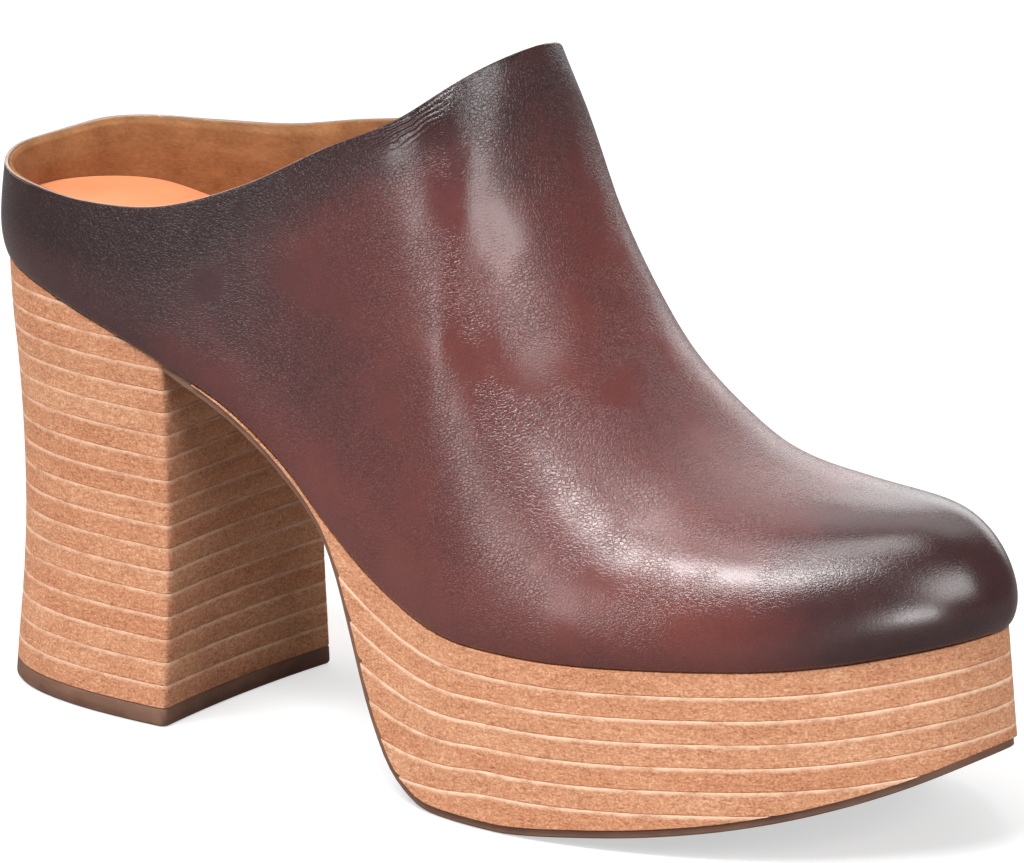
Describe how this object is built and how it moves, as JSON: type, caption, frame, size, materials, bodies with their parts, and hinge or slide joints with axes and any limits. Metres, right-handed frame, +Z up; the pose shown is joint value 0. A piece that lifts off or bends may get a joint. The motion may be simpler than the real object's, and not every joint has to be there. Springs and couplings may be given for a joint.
{
  "type": "platform clog shoe",
  "caption": "Right-foot slip-on platform mule clog: one-piece leather upper on a tall stacked block heel and a stacked platform sole.",
  "frame": {"origin": "centre of the heel's ground face, on the ground", "axes": "+X points to the toe, +Y to the inner side of the foot, +Z up"},
  "size_m": [0.2502, 0.0928, 0.1537],
  "materials": {
    "upper_leather": "burnished smooth leather, semi-gloss, fine pebble grain",
    "suede_lining": "tan suede, matt with short nap",
    "sock_leather": "smooth orange-tan leather, satin",
    "stiffener": "impregnated fibre sheet, matt",
    "interlining": "woven backing, matt",
    "insole_board": "pressed fibre board, matt",
    "shank_steel": "rolled strip, dull",
    "nail_steel": "bright wire and turned steel",
    "cork": "granulated cork, matt",
    "foam": "latex foam, matt",
    "platform_stack": "sanded stacked lifts with pale glue lines, matt",
    "heel_stack": "sanded stacked lifts with pale glue lines, matt",
    "outsole": "thin brown sole sheet, matt",
    "top_piece": "brown rubber, matt"
  },
  "bodies": {
    "root": {"upper_leather": "upper_leather", "quarter_lining": "suede_lining", "vamp_lining": "suede_lining", "toe_puff": "stiffener", "heel_counter": "stiffener", "interlining": "interlining", "topline_tape": "interlining", "insole_board": "insole_board", "shank": "shank_steel", "shank_rivets": "nail_steel", "bottom_filler": "cork", "footbed_foam": "foam", "sock_lining": "sock_leather", "outsole": "outsole", "platform_lift_1": "platform_stack", "platform_lift_2": "platform_stack", "platform_lift_3": "platform_stack", "platform_lift_4": "platform_stack", "platform_lift_5": "platform_stack", "platform_lift_6": "platform_stack", "platform_lift_7": "platform_stack", "heel_lift_1": "heel_stack", "heel_lift_2": "heel_stack", "heel_lift_3": "heel_stack", "heel_lift_4": "heel_stack", "heel_lift_5": "heel_stack", "heel_lift_6": "heel_stack", "heel_lift_7": "heel_stack", "heel_lift_8": "heel_stack", "heel_lift_9": "heel_stack", "heel_lift_10": "heel_stack", "heel_lift_11": "heel_stack", "heel_lift_12": "heel_stack", "heel_lift_13": "heel_stack", "heel_lift_14": "heel_stack", "heel_lift_15": "heel_stack", "heel_lift_16": "heel_stack", "heel_lift_17": "heel_stack", "heel_lift_18": "heel_stack", "heel_top_piece": "top_piece", "heel_screw": "nail_steel", "heel_nails": "nail_steel", "top_piece_nails": "nail_steel"}
  },
  "joints": []
}
